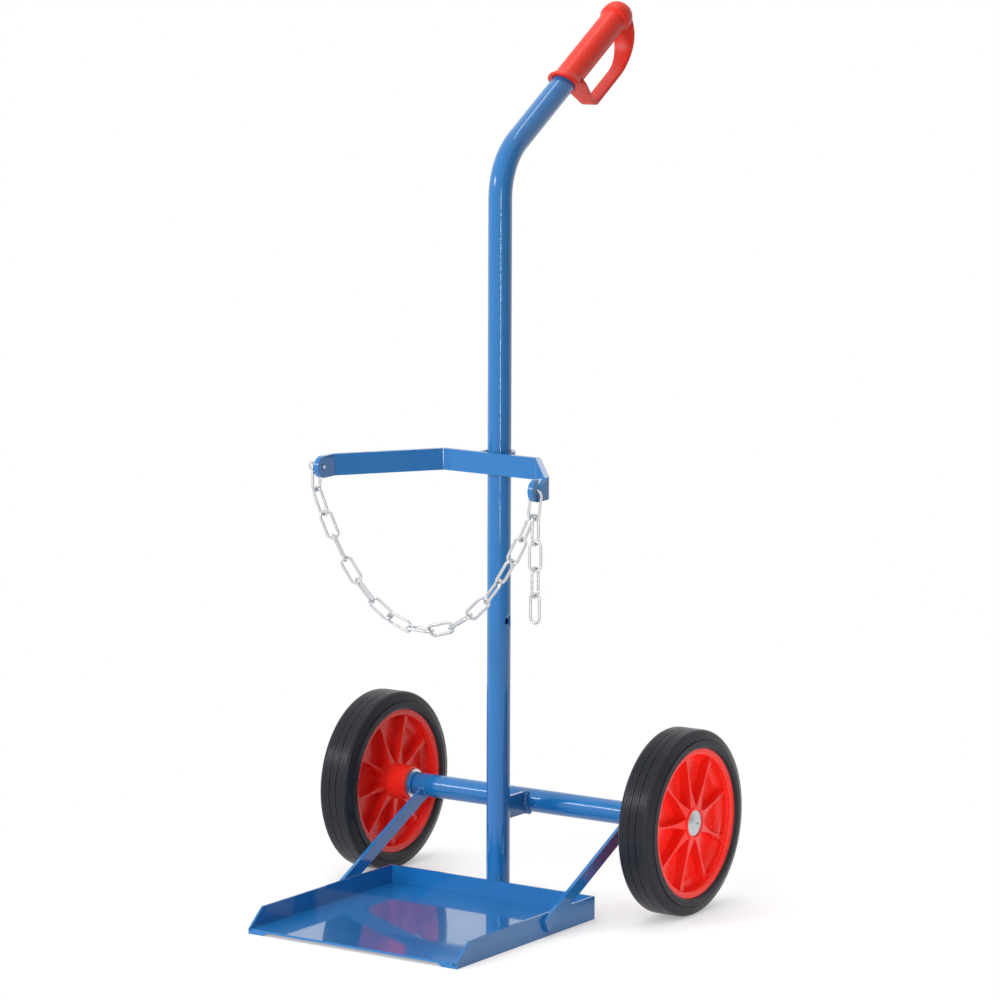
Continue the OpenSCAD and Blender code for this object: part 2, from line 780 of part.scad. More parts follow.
// The link that rides in the notch of the right tab
module end_link() {
    mid = (end_top + end_low) / 2;
    translate([mid[0], -hook_plane, mid[1]])
        rotate([0, 90 + end_lean, 0]) rotate([-end_turn, 0, 0]) link_ring();
}

module tail_link(i) {
    top = tail_from - [0, (i - 1) * link_pitch];
    link_between(top, top - [0, link_pitch], tail_rolls[i - 1], tail_y);
}

// ------------------------------------------------------- pieces

cart_frame() post();
cart_frame() hand_grip();
cart_frame() axle_tube();
cart_frame() axle_link_plate();
cart_frame() axle_shaft();
cart_frame() on_side(-1) end_bush();  // left_end_bush
cart_frame() end_bush();  // right_end_bush
cart_frame() on_side(-1) axle_washer();  // left_axle_washer
cart_frame() axle_washer();  // right_axle_washer
cart_frame() on_side(-1) tyre();  // left_tyre
cart_frame() tyre();  // right_tyre
cart_frame() on_side(-1) rim(-20.2);  // left_rim
cart_frame() rim(6);  // right_rim
cart_frame() on_side(-1) bearing_cage();  // left_bearing_cage
cart_frame() bearing_cage();  // right_bearing_cage
cart_frame() on_side(-1) bearing_rollers();  // left_bearing_rollers
cart_frame() bearing_rollers();  // right_bearing_rollers
cart_frame() on_side(-1) hub_cap();  // left_hub_cap
cart_frame() hub_cap();  // right_hub_cap
cart_frame() tray();
cart_frame() on_side(-1) skid();  // left_skid
cart_frame() skid();  // right_skid
cart_frame() on_side(-1) strut();  // left_strut
cart_frame() strut();  // right_strut
cart_frame() retaining_bar();
cart_frame() bar_saddle();
cart_frame() saddle_bolt();
cart_frame() saddle_nut();
cart_frame() saddle_washers();
cart_frame() chain_screw();
cart_frame() chain_screw_washer();
for (i = [1:drape_count + 2])
    cart_frame() drape_link(i);
for (i = [1:tail_count])
    cart_frame() tail_link(i);
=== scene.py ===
"""Finishes, weld beads and studio for a single-post gas cylinder cart.

The cart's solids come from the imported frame. This file gives every one of them its finish, adds
the small worked surfaces that sit on them, and sets the floor, lamps and camera.
"""

import json
import math

import bpy
import numpy as np
from mathutils import Matrix, Vector


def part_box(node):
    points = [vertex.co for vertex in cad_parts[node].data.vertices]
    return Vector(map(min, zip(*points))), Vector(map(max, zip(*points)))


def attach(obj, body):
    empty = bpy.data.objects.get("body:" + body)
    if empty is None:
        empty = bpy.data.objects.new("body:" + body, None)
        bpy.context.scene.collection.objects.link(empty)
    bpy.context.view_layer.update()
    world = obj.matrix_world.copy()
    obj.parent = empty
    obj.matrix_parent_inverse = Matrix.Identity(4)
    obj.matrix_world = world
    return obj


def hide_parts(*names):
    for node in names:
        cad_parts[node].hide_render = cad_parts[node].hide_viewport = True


bl_info = {
    "name": "Cylinder Cart Finishes",
    "version": (1, 0, 0),
    "blender": (4, 5, 0),
    "location": "View3D > Sidebar > Cart",
    "description": "Paint, plastic, rubber, zinc, weld beads and studio for a cylinder cart",
    "category": "Material",
}

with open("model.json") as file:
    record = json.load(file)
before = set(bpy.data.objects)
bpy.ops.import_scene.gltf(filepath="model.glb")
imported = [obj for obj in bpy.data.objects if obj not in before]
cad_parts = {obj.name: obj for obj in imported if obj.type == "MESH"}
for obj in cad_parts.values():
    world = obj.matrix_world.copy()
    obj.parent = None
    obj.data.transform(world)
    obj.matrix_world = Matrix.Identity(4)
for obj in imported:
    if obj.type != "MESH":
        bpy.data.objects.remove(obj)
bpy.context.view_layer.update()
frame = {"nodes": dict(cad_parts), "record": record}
MM = 0.001


# ---------------------------------------------------------------- sizes taken from the frame

def middle(node):
    """Middle of a node's box."""
    low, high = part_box(node)
    return (np.array(low) + np.array(high)) / 2


def span(node):
    """Lengths of a node's box along X, Y and Z."""
    low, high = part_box(node)
    return np.array(high) - np.array(low)


AXLE = middle("axle_tube")
AXLE_R = span("axle_tube")[2] / 2
POST_R = span("post")[0] / 2
POST_Y = float(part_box("post")[0][1]) + POST_R
PLATE_LOW, PLATE_HIGH = (np.array(corner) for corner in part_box("axle_link_plate"))
STRUT_LOW, STRUT_HIGH = (np.array(corner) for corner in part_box("right_strut"))
TRAY_LOW, TRAY_HIGH = (np.array(corner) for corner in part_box("tray"))


# ---------------------------------------------------------------- shader node helpers

WHITE = (1, 1, 1, 1)
SMOOTH = {"interpolation_type": "SMOOTHSTEP"}


def feed(tree, socket, value):
    """Gives an input its value: another node's output, or a constant."""
    if isinstance(value, bpy.types.NodeSocket):
        tree.links.new(value, socket)
    else:
        socket.default_value = value


def add_node(tree, kind, settings=None, **values):
    """A node of that kind, with attributes from settings and inputs fed by socket name."""
    node = tree.nodes.new(kind)
    for key, value in (settings or {}).items():
        setattr(node, key, value)
    for key, value in values.items():
        feed(tree, node.inputs[key.replace("_", " ")], value)
    return node


def add_math(tree, operation, *values):
    """Output of a Math node that takes the values in order."""
    node = add_node(tree, "ShaderNodeMath", {"operation": operation})
    for socket, value in zip(node.inputs, values):
        feed(tree, socket, value)
    return node.outputs[0]


def new_group(name, inputs, outputs):
    """An empty shader node group, with (kind, name, default) inputs and (kind, name) outputs."""
    tree = bpy.data.node_groups.new(name, "ShaderNodeTree")
    for kind, label, default in inputs:
        socket = tree.interface.new_socket(
            name=label, in_out="INPUT", socket_type="NodeSocket" + kind)
        socket.default_value = default
    for kind, label in outputs:
        tree.interface.new_socket(name=label, in_out="OUTPUT", socket_type="NodeSocket" + kind)
    return tree, tree.nodes.new("NodeGroupInput").outputs, tree.nodes.new("NodeGroupOutput").inputs


def object_noise(tree, scale, detail=2.0, roughness=0.5):
    """Noise on object coordinates, its scale from a socket."""
    where = add_node(tree, "ShaderNodeTexCoord").outputs["Object"]
    noise = add_node(tree, "ShaderNodeTexNoise", Vector=where, Scale=scale, Detail=detail,
                     Roughness=roughness)
    return noise.outputs["Fac"]


def drift_group():
    """Colour that drifts a little in brightness over the surface, as paint and plastic do."""
    tree, given, result = new_group(
        "Colour drift",
        [("Color", "Color", (0.5, 0.5, 0.5, 1)), ("Float", "Scale", 8.0), ("Float", "Amount", 0.1)],
        [("Color", "Color")])
    noise = object_noise(tree, given["Scale"], detail=4.0)
    swing = add_math(tree, "SUBTRACT", noise, 0.5)
    gain = add_math(tree, "MULTIPLY_ADD", swing, given["Amount"], 1.0)
    tint = add_node(tree, "ShaderNodeVectorMath", {"operation": "SCALE"}, Scale=gain)
    feed(tree, tint.inputs[0], given["Color"])
    feed(tree, result["Color"], tint.outputs[0])
    return tree


def patchy_group():
    """Roughness that wanders between two values in soft patches."""
    tree, given, result = new_group(
        "Patchy gloss",
        [("Float", "Low", 0.2), ("Float", "High", 0.4), ("Float", "Scale", 20.0)],
        [("Float", "Roughness")])
    noise = object_noise(tree, given["Scale"], detail=5.0, roughness=0.6)
    spread = add_node(tree, "ShaderNodeMapRange", Value=noise, From_Min=0.35, From_Max=0.65,
                      To_Min=given["Low"], To_Max=given["High"])
    feed(tree, result["Roughness"], spread.outputs["Result"])
    return tree


def skin_group():
    """Height of a fine skin: broad waves with finer pits on them, for bump."""
    tree, given, result = new_group(
        "Fine skin",
        [("Float", "Wave scale", 150.0), ("Float", "Pit scale", 900.0), ("Float", "Pits", 0.3)],
        [("Float", "Height")])
    waves = object_noise(tree, given["Wave scale"])
    pits = object_noise(tree, given["Pit scale"], detail=3.0)
    feed(tree, result["Height"], add_math(tree, "MULTIPLY_ADD", pits, given["Pits"], waves))
    return tree


def group(name):
    """The named effect, built the first time it is asked for."""
    makers = {"Colour drift": drift_group, "Patchy gloss": patchy_group, "Fine skin": skin_group}
    return bpy.data.node_groups.get(name) or makers[name]()


def place_group(tree, name, **values):
    """An effect placed in a material, with its own values by input name."""
    node = tree.nodes.new("ShaderNodeGroup")
    node.node_tree = group(name)
    for key, value in values.items():
        feed(tree, node.inputs[key.replace("_", " ")], value)
    return node.outputs[0]


def finish_material(name, color, rough, drift, skin, bump, **fixed):
    """A Principled material: drifting colour, patchy gloss and a fine skin in bump.

    rough is (low, high, scale), drift is (scale, amount), skin is (wave scale, pit scale, pits),
    bump is (strength, distance), and fixed holds the shader's own constants.
    """
    material = bpy.data.materials.new(name)
    material.use_nodes = True
    tree = material.node_tree
    shader = tree.nodes["Principled BSDF"]
    for key, value in fixed.items():
        feed(tree, shader.inputs[key.replace("_", " ")], value)
    tint = place_group(tree, "Colour drift", Color=(*color, 1), Scale=drift[0], Amount=drift[1])
    gloss = place_group(tree, "Patchy gloss", Low=rough[0], High=rough[1], Scale=rough[2])
    height = place_group(tree, "Fine skin", Wave_scale=skin[0], Pit_scale=skin[1], Pits=skin[2])
    relief = add_node(tree, "ShaderNodeBump", Strength=bump[0], Distance=bump[1], Height=height)
    feed(tree, shader.inputs["Base Color"], tint)
    feed(tree, shader.inputs["Roughness"], gloss)
    feed(tree, shader.inputs["Normal"], relief.outputs["Normal"])
    material.diffuse_color = (*color, 1)
    return material


def dress(material, *names):
    """Gives the material to CAD nodes, or to new pieces."""
    for name in names:
        piece = frame["nodes"].get(name) or bpy.data.objects[name]
        for place in piece.material_slots:
            place.material = material


def nodes_in_slot(slot):
    """Names of the nodes that the record gives one material slot."""
    return [part["node"] for part in frame["record"]["subparts"] if part["material_slot"] == slot]


# ---------------------------------------------------------------- worked surfaces

def ring_faces(rows, sides):
    """Faces over rows of rings, closed at both ends, outward where rings turn against the rows."""
    row, turn = np.meshgrid(np.arange(rows - 1), np.arange(sides), indexing="ij")
    here, beside = row * sides + turn, row * sides + (turn + 1) % sides
    quads = np.stack([here, here + sides, beside + sides, beside], axis=-1).reshape(-1, 4)
    last = (rows - 1) * sides
    return quads.tolist() + [list(range(sides)), [last + k for k in reversed(range(sides))]]


def smooth_step(value, low, high):
    """0 up to low, 1 from high, and 3 u^2 - 2 u^3 between them."""
    u = np.clip((value - low) / (high - low), 0, 1)
    return u * u * (3 - 2 * u)


# a direction that no swept path follows, from which each ring's first side is taken
SWEEP_GUIDE = np.array([0.31, 0.22, 0.92])


def sweep(path, radius, sides=10):
    """A round tube along a path whose radius changes from point to point.

    Point (i, k) is path[i] + radius[i] * (cos a * side + sin a * up), a = 2 pi k / sides, where
    side and up are square to the path's direction there. Both ends are closed.
    """
    path = np.asarray(path, float)
    radius = np.asarray(radius, float)
    along = np.gradient(path, axis=0)
    along /= np.linalg.norm(along, axis=1, keepdims=True)
    side = np.cross(along, SWEEP_GUIDE)
    side /= np.linalg.norm(side, axis=1, keepdims=True)
    up = np.cross(side, along)
    angle = np.arange(sides) * 2 * math.pi / sides
    turn = angle[None, :, None]
    ring = np.cos(turn) * side[:, None, :] + np.sin(turn) * up[:, None, :]
    points = (path[:, None, :] + radius[:, None, None] * ring).reshape(-1, 3)
    return points, ring_faces(len(path), sides)


def add_piece(name, parts, body):
    """One mesh object from several (points, faces) parts, smooth, riding on a body."""
    points = np.concatenate([part[0] for part in parts])
    faces = []
    start = 0
    for part in parts:
        faces += [[start + k for k in face] for face in part[1]]
        start += len(part[0])
    mesh = bpy.data.meshes.new(name)
    mesh.from_pydata(points.tolist(), [], faces)
    mesh.update()
    mesh.polygons.foreach_set("use_smooth", np.ones(len(faces), bool))
    mesh.materials.append(None)
    piece = bpy.data.objects.new(name, mesh)
    bpy.context.scene.collection.objects.link(piece)
    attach(piece, body)
    return piece


RIPPLE = 0.22
BEAD_END = 0.25


def bead(path, size, pitch):
    """A weld bead along a path, drawn in at both ends over one pitch.

    Its radius is size * (1 + RIPPLE |sin(pi s / pitch)|) at the length s, times a quarter circle
    that rises from BEAD_END at each end to 1.
    """
    path = np.asarray(path, float)
    step = np.linalg.norm(np.diff(path, axis=0), axis=1)
    length = np.concatenate([[0], np.cumsum(step)])
    count = max(12, int(length[-1] / pitch * 8))
    s = np.linspace(0, length[-1], count)
    route = np.stack([np.interp(s, length, path[:, k]) for k in range(3)], axis=1)
    ripple = 1 + RIPPLE * np.abs(np.sin(math.pi * s / pitch))
    ends = np.clip(np.minimum(s, s[-1] - s) / pitch, 0, 1)
    taper = BEAD_END + (1 - BEAD_END) * np.sqrt(1 - (1 - ends) ** 2)
    return sweep(route, size * ripple * taper)


# ---------------------------------------------------------------- hand grip

# where the post's and the handle's axes meet, in metres, and the handle's lean from upright
HANDLE_CORNER = np.array([0.0, POST_Y, 0.996])
HANDLE_LEAN = math.radians(57)

# sizes of the grip in mm, "up" along the handle's axis and "below" square to it
GRIP_SLANT = math.radians(20)
CAP_FOOT, CAP_HEIGHT, CAP_R, CAP_TIP_R = 338, 22.5, 21.8, 0.05
SLEEVE_R = 18.3
SLEEVE_TOP, SLEEVE_FOOT = 324, 197
# (up, radius) of the rings under the cap, and of the mouth's bead down to the bore
NECK = ((335, 21.8), (333, 21.6), (332, 21.2), (331, 20.2), (330, 19.2), (328, 18.6))
MOUTH = ((193, 18.8), (189, 20.6), (187.6, 21.6), (187, 22.1), (186, 22.5), (183, 22.6),
         (181.6, 22.4), (181.1, 22), (181, 21.4), (181, 17.2), (181.2, 16.4), (182, 16.2),
         (190, 16.2))
LEG_UP = 197.1
CORNER_UP, CORNER_BELOW, CORNER_R = 227, 50.8, 10.7
BACK_BELOW = CORNER_BELOW + CORNER_R
CROWN_UP, CROWN_BELOW, CROWN_R, CROWN_TURN = 294, 6.3, 55.2, 104
GUARD_HALF_WIDTH, ROOT_WIDER, CROWN_WIDER = 10.8, 8.2, 5.7
GUARD_HALF_THICKNESS, GUARD_EDGE_R = 2.4, 1.3


def handle_points(across, up, below):
    """Millimetres across, up along the handle's axis and square below it, as points of the cart."""
    y = up * math.sin(HANDLE_LEAN) + below * math.cos(HANDLE_LEAN)
    z = up * math.cos(HANDLE_LEAN) - below * math.sin(HANDLE_LEAN)
    return (HANDLE_CORNER + np.stack([across, y, z], axis=-1) * MM).reshape(-1, 3)


def grip_sleeve(sides=72):
    """Sleeve, end cap and slanted mouth, turned about the handle's axis from cap to bore.

    The cap is up = CAP_FOOT + CAP_HEIGHT sin^0.9 a, r = CAP_R cos^0.8 a. From up = 206 down to
    190 the rings lean over to GRIP_SLANT, where up grows by below * tan(slant).
    """
    a = np.radians(np.linspace(90, 0, 26))
    cap = np.stack([CAP_FOOT + CAP_HEIGHT * np.sin(a) ** 0.9,
                    np.maximum(CAP_R * np.cos(a) ** 0.8, CAP_TIP_R)], axis=1)
    straight = np.stack([np.linspace(SLEEVE_TOP, SLEEVE_FOOT, 30), np.full(30, SLEEVE_R)], axis=1)
    up, r = np.concatenate([cap, NECK, straight, MOUTH])[:, :, None].transpose(1, 0, 2)
    turn = np.arange(sides) * 2 * math.pi / sides
    below = r * np.sin(turn)
    lean = math.tan(GRIP_SLANT) * (1 - smooth_step(up, 190, 206))
    return handle_points(r * np.cos(turn), up + lean * below, below), ring_faces(len(up), sides)


def guard_route():
    """Middle line of the guard, up and below: slanted leg, corner, straight back and crown."""
    leg_below = np.linspace(6, 53, 14)
    leg = np.stack([LEG_UP + math.tan(GRIP_SLANT) * leg_below, leg_below])
    turn = np.linspace(GRIP_SLANT, math.pi / 2, 14)
    corner = np.stack([CORNER_UP - CORNER_R * np.cos(turn), CORNER_BELOW + CORNER_R * np.sin(turn)])
    back_up = np.linspace(231, 290, 14)
    back = np.stack([back_up, np.full_like(back_up, BACK_BELOW)])
    rise = np.radians(np.linspace(0, CROWN_TURN, 46))
    crown = np.stack([CROWN_UP + CROWN_R * np.sin(rise), CROWN_BELOW + CROWN_R * np.cos(rise)])
    return np.concatenate([leg, corner, back, crown], axis=1)


def grip_guard():
    """Guard band: a rectangle with round edges along the guard's route.

    It is GUARD_HALF_WIDTH wide to each side, ROOT_WIDER more where the leg leaves the sleeve,
    and CROWN_WIDER more over the crown. Each ring has 5 points on each of its 4 round edges.
    """
    up, below = guard_route()
    step_up, step_below = np.gradient(up), np.gradient(below)
    length = np.hypot(step_up, step_below)
    rise = np.degrees(np.arctan2(up - CROWN_UP, below - CROWN_BELOW))
    root = np.clip((56 - below) / 38, 0, 1) * (up < 240)
    wide = GUARD_HALF_WIDTH + ROOT_WIDER * root + CROWN_WIDER * smooth_step(rise, 8, 72)
    corner = np.repeat(np.arange(4), 5)
    angle = np.radians(corner * 90 + np.tile(np.arange(5), 4) * 22.5)
    across = np.array([1, -1, -1, 1])[corner] * (wide[:, None] - GUARD_EDGE_R)
    across = across + GUARD_EDGE_R * np.cos(angle)
    out = np.array([1, 1, -1, -1])[corner] * (GUARD_HALF_THICKNESS - GUARD_EDGE_R)
    out = out + GUARD_EDGE_R * np.sin(angle)
    ring_up = up[:, None] + out * (step_below / length)[:, None]
    ring_below = below[:, None] - out * (step_up / length)[:, None]
    return handle_points(across, ring_up, ring_below), ring_faces(len(up), 20)


# ---------------------------------------------------------------- settings

class CartPaintSettings(bpy.types.PropertyGroup):
    """Sizes and colours of the painted steel and its weld beads."""

    color: bpy.props.FloatVectorProperty(
        name="Paint", description="Colour of the powder coat", subtype="COLOR",
        size=3, min=0, max=1, default=(0.010, 0.160, 0.440))
    coat_roughness: bpy.props.FloatProperty(
        name="Coat roughness", description="Roughness of the clear top of the paint",
        min=0, max=1, default=0.05, subtype="FACTOR")
    bead_size: bpy.props.FloatProperty(
        name="Bead size", description="Radius of the weld beads", min=0.001, max=0.006,
        default=0.0026, unit="LENGTH")
    bead_pitch: bpy.props.FloatProperty(
        name="Bead pitch", description="Distance between two ripples of a weld bead", min=0.001,
        max=0.01, default=0.0034, unit="LENGTH")


class CartPlasticSettings(bpy.types.PropertyGroup):
    """Colours of the moulded parts."""

    color: bpy.props.FloatVectorProperty(
        name="Grip", description="Colour of the hand grip", subtype="COLOR",
        size=3, min=0, max=1, default=(0.80, 0.024, 0.006))
    # painted light: the rims are the grip's red plastic, given a lighter red to stand in for light
    # on their shaded, right-facing faces
    rim_color: bpy.props.FloatVectorProperty(
        name="Rims", description="Colour of the wheel rims", subtype="COLOR",
        size=3, min=0, max=1, default=(0.96, 0.028, 0.018))
    cage_color: bpy.props.FloatVectorProperty(
        name="Roller cage", description="Colour of the roller cages", subtype="COLOR",
        size=3, min=0, max=1, default=(0.50, 0.42, 0.24))


class CartRubberSettings(bpy.types.PropertyGroup):
    """Colour of the tyres."""

    color: bpy.props.FloatVectorProperty(
        name="Tyre", description="Colour of the rubber tyres", subtype="COLOR",
        size=3, min=0, max=1, default=(0.019, 0.021, 0.027))


class CartMetalSettings(bpy.types.PropertyGroup):
    """Colours of the bare and zinc-plated metal."""

    zinc_color: bpy.props.FloatVectorProperty(
        name="Zinc", description="Colour of the chain and the plated screws", subtype="COLOR",
        size=3, min=0, max=1, default=(0.65, 0.66, 0.67))
    cap_color: bpy.props.FloatVectorProperty(
        name="Dull zinc", description="Colour of the pressed hub caps",
        subtype="COLOR", size=3, min=0, max=1, default=(0.55, 0.57, 0.60))
    steel_color: bpy.props.FloatVectorProperty(
        name="Ground steel", description="Colour of the shaft and the rollers", subtype="COLOR",
        size=3, min=0, max=1, default=(0.56, 0.57, 0.58))


class CartStageSettings(bpy.types.PropertyGroup):
    """Floor, lamps and camera."""

    floor_radius: bpy.props.FloatProperty(
        name="Floor radius", description="Radius of the round white floor", min=1, max=40,
        default=2.2, unit="LENGTH")
    ambient: bpy.props.FloatProperty(
        name="Ambient", description="Strength of the light from all round", min=0, max=2,
        default=0.36, subtype="FACTOR")
    shade: bpy.props.FloatProperty(
        name="Shade", description="Brightness of the studio's dark side, to the right",
        min=0, max=1, default=0.50, subtype="FACTOR")
    floor_lift: bpy.props.FloatProperty(
        name="Floor lift", description="White added to the floor as the camera sees it", min=0,
        max=1, default=0.73, subtype="FACTOR")
    azimuth: bpy.props.FloatProperty(
        name="Azimuth", description="Direction of the camera round the cart, from its front",
        subtype="ANGLE", default=math.radians(33.75))
    elevation: bpy.props.FloatProperty(
        name="Elevation", description="Height angle of the camera", subtype="ANGLE",
        default=math.radians(7.96))
    roll: bpy.props.FloatProperty(
        name="Roll", description="Turn of the camera about its own axis", subtype="ANGLE",
        default=math.radians(0.19))
    distance: bpy.props.FloatProperty(
        name="Distance", description="Distance from the camera to the middle of the cart",
        min=1, max=20, default=5.4845, unit="LENGTH")
    lens: bpy.props.FloatProperty(
        name="Lens", description="Focal length on a 36 mm wide sensor", min=20, max=300,
        default=148.05, unit="CAMERA")
    aim: bpy.props.FloatVectorProperty(
        name="Aim", description="Point in the middle of the picture", subtype="XYZ",
        size=3, unit="LENGTH", default=(0.0012, 0.0156, 0.5462))


# ---------------------------------------------------------------- steelwork

class CART_OT_paint_steel(bpy.types.Operator):
    """Powder coat on the post, axle tube, tray, struts and retaining bar"""

    bl_idname = "cart.paint_steel"
    bl_label = "Paint the steelwork"

    def execute(self, context):
        look = context.scene.cart_paint
        paint = finish_material(
            "Powder coat", look.color, rough=(0.30, 0.40, 30), drift=(6, 0.06),
            skin=(260, 1100, 0.25), bump=(0.03, 0.00005), Specular_IOR_Level=0.1,
            Coat_Weight=1.0, Coat_Roughness=look.coat_roughness, Coat_IOR=1.5)
        dress(paint, *nodes_in_slot("blue_paint"))
        return {"FINISHED"}


def circle_path(centre, radius, start, end, x, count=24):
    """Points at one X on a circle about the axle, from angle start to end above -Y."""
    angle = np.radians(np.linspace(start, end, count))
    y = centre[1] - radius * np.cos(angle)
    z = centre[2] + radius * np.sin(angle)
    return np.stack([np.full(count, x), y, z], axis=1)


def upright_path(x, y, low, high, count=12):
    """Points on a straight upright line."""
    return np.stack([np.full(count, x), np.full(count, y), np.linspace(low, high, count)], axis=1)


class CART_OT_weld_steel(bpy.types.Operator):
    """Weld beads on the link plate, at the struts' upper ends and at the post's foot"""

    bl_idname = "cart.weld_steel"
    bl_label = "Weld the steelwork"

    def execute(self, context):
        look = context.scene.cart_paint
        size, pitch = look.bead_size, look.bead_pitch
        self.weld_link_plate(size, pitch)
        self.weld_struts(size, pitch)
        self.weld_tray(size, pitch)
        paint = bpy.data.materials["Powder coat"]
        dress(paint, "link_plate_welds", "strut_welds", "tray_welds")
        return {"FINISHED"}

    def weld_link_plate(self, size, pitch):
        """Upright beads on the post, curved and fuller ones on the axle tube, on both sides."""
        top = math.degrees(math.asin(min(1.0, (PLATE_HIGH[2] - AXLE[2]) / AXLE_R)))
        foot = math.degrees(math.asin(max(-1.0, (PLATE_LOW[2] - AXLE[2]) / AXLE_R)))
        beads = []
        for x in (PLATE_LOW[0], PLATE_HIGH[0]):
            back = POST_Y + math.sqrt(POST_R ** 2 - x ** 2)
            beads.append(bead(upright_path(x, back, PLATE_LOW[2], PLATE_HIGH[2]), size, pitch))
            route = circle_path(AXLE, AXLE_R, foot * 0.9, top * 0.95, x)
            beads.append(bead(route, 1.5 * size, 1.4 * pitch))
        add_piece("link_plate_welds", beads, "frame")

    def weld_struts(self, size, pitch):
        """Curved beads on the axle tube, along both edges of each strut's upper end."""
        beads = []
        for side in (-1, 1):
            for x in (STRUT_LOW[0], STRUT_HIGH[0]):
                beads.append(bead(circle_path(AXLE, AXLE_R, -62, 4, side * x), size, pitch))
        add_piece("strut_welds", beads, "frame")

    def weld_tray(self, size, pitch):
        """Upright beads between the post's foot and the tray's back flange."""
        low, high = TRAY_LOW[2] + 2 * size, TRAY_HIGH[2] - size
        beads = [bead(upright_path(x, TRAY_HIGH[1] + size * 0.4, low, high), size, pitch)
                 for x in (-POST_R * 0.32, POST_R * 0.32)]
        add_piece("tray_welds", beads, "frame")


# ---------------------------------------------------------------- other finishes

class CART_OT_mould_plastic(bpy.types.Operator):
    """Glossy moulded plastic on the rims and the hand grip, matt plastic on the roller cages"""

    bl_idname = "cart.mould_plastic"
    bl_label = "Mould the plastic parts"

    def execute(self, context):
        look = context.scene.cart_plastic
        red = finish_material(
            "Grip red", look.color, rough=(0.34, 0.42, 24), drift=(14, 0.05),
            skin=(60, 700, 0.1), bump=(0.02, 0.0001), Specular_IOR_Level=0.4)
        self.mould_grip()
        dress(red, "hand_grip", "grip_moulding")
        # the rims' red is lighter than the grip's: painted light for their shaded outer faces, not
        # a different plastic
        rim = finish_material(
            "Rim red with painted light", look.rim_color, rough=(0.22, 0.30, 24), drift=(10, 0.05),
            skin=(50, 600, 0.1), bump=(0.015, 0.0001), Specular_IOR_Level=0.35)
        dress(rim, "left_rim", "right_rim")
        cage = finish_material(
            "Cage plastic", look.cage_color, rough=(0.45, 0.6, 60), drift=(40, 0.15),
            skin=(200, 900, 0.3), bump=(0.2, 0.0001))
        dress(cage, *nodes_in_slot("cage_plastic"))
        return {"FINISHED"}

    def mould_grip(self):
        """The hand grip as moulded: sleeve, domed cap and guard in place of the plain solid."""
        piece = add_piece("grip_moulding", [grip_sleeve(), grip_guard()], "frame")
        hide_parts("hand_grip")


class CART_OT_fit_tyres(bpy.types.Operator):
    """Dark solid rubber with a fine moulded skin"""

    bl_idname = "cart.fit_tyres"
    bl_label = "Fit the tyres"

    def execute(self, context):
        look = context.scene.cart_rubber
        rubber = finish_material(
            "Tyre rubber", look.color, rough=(0.24, 0.34, 40), drift=(30, 0.2),
            skin=(300, 1600, 0.8), bump=(0.12, 0.0001), Specular_IOR_Level=0.18)
        dress(rubber, *nodes_in_slot("black_rubber"))
        return {"FINISHED"}


class CART_OT_plate_metal(bpy.types.Operator):
    """Bright zinc on the chain, caps, washers and screws, ground steel on the shaft and rollers"""

    bl_idname = "cart.plate_metal"
    bl_label = "Plate the metal parts"

    def execute(self, context):
        look = context.scene.cart_metal
        zinc = finish_material(
            "Zinc plate", look.zinc_color, rough=(0.24, 0.34, 60), drift=(40, 0.08),
            skin=(300, 1500, 0.3), bump=(0.03, 0.00005), Metallic=1.0)
        dress(zinc, *nodes_in_slot("zinc_plate"))
        dull = finish_material(
            "Dull zinc", look.cap_color, rough=(0.26, 0.40, 160), drift=(120, 0.22),
            skin=(500, 1800, 0.4), bump=(0.15, 0.00006), Metallic=1.0)
        dress(dull, "left_hub_cap", "right_hub_cap")
        steel = finish_material(
            "Ground steel", look.steel_color, rough=(0.15, 0.25, 120), drift=(60, 0.1),
            skin=(700, 2200, 0.5), bump=(0.2, 0.00004), Metallic=1.0)
        dress(steel, *nodes_in_slot("bright_steel"))
        return {"FINISHED"}


# ---------------------------------------------------------------- stage

LAMPS = (
    # name, place, aim, width, height, power, spread in degrees, what it gives
    ("key_lamp", (-2.4, -3.4, 2.4), (0, 0, 0.5), 1.8, 1.8, 44.0, 180, "light"),
    ("front_lamp", (0.35, -4.2, 1.8), (0, 0, 0.5), 1.6, 1.6, 93.0, 180, "light"),
    ("top_lamp", (-0.9, 0.2, 3.6), (0, 0, 0.3), 2.4, 2.4, 40.0, 180, "light"),
    ("low_lamp", (0.56, 0.0, 0.12), (0.26, 0.09, 0.12), 0.25, 0.25, 0.22, 120, "light"),
    ("axle_strip", (-2.4, -3.4, 2.4), (0, 0, 0.2), 1.8, 0.7, 38.0, 180, "both"),
    ("post_strip", (1.34, -1.49, 0.75), (0, 0, 0.75), 0.09, 1.1, 7.0, 180, "streak"),
    ("handle_strip", (-0.1, 0.4, 3.2), (0, 0.3, 1.0), 0.30, 1.4, 5.0, 180, "both"),
)


FLOOR_SIDES = 96
FLOOR_DROP = 0.0003
# the floor's grey for the rays that light the cart, and for those that see it
FLOOR_WHITE, FLOOR_SEEN = 0.90, 0.36
# contact shade: its reach, the open share from which it ends, and what is left of the lift in it
CONTACT_REACH, CONTACT_END, CONTACT_LEFT = 0.18, 0.97, 0.50
# distances from the middle between which the floor turns plain white
FADE_START, FADE_END = 0.42, 0.85
# the studio's dark side, and the cosines from it between which the tone falls
DARK_SIDE = (0.996, -0.087, 0)
DARK_START, DARK_END = 0.66, 0.80


def aim_matrix(place, aim):
    """Matrix of a lamp at place whose -Z points at aim."""
    place, aim = Vector(place), Vector(aim)
    turn = (aim - place).to_track_quat("-Z", "Y")
    return Matrix.LocRotScale(place, turn, None)


def ray_mask(tree, *names):
    """1 for the rays that the Light Path outputs of these names tell of, 0 for others."""
    path = add_node(tree, "ShaderNodeLightPath")
    mask = path.outputs[names[0]]
    for name in names[1:]:
        mask = add_math(tree, "MAXIMUM", mask, path.outputs[name])
    return mask


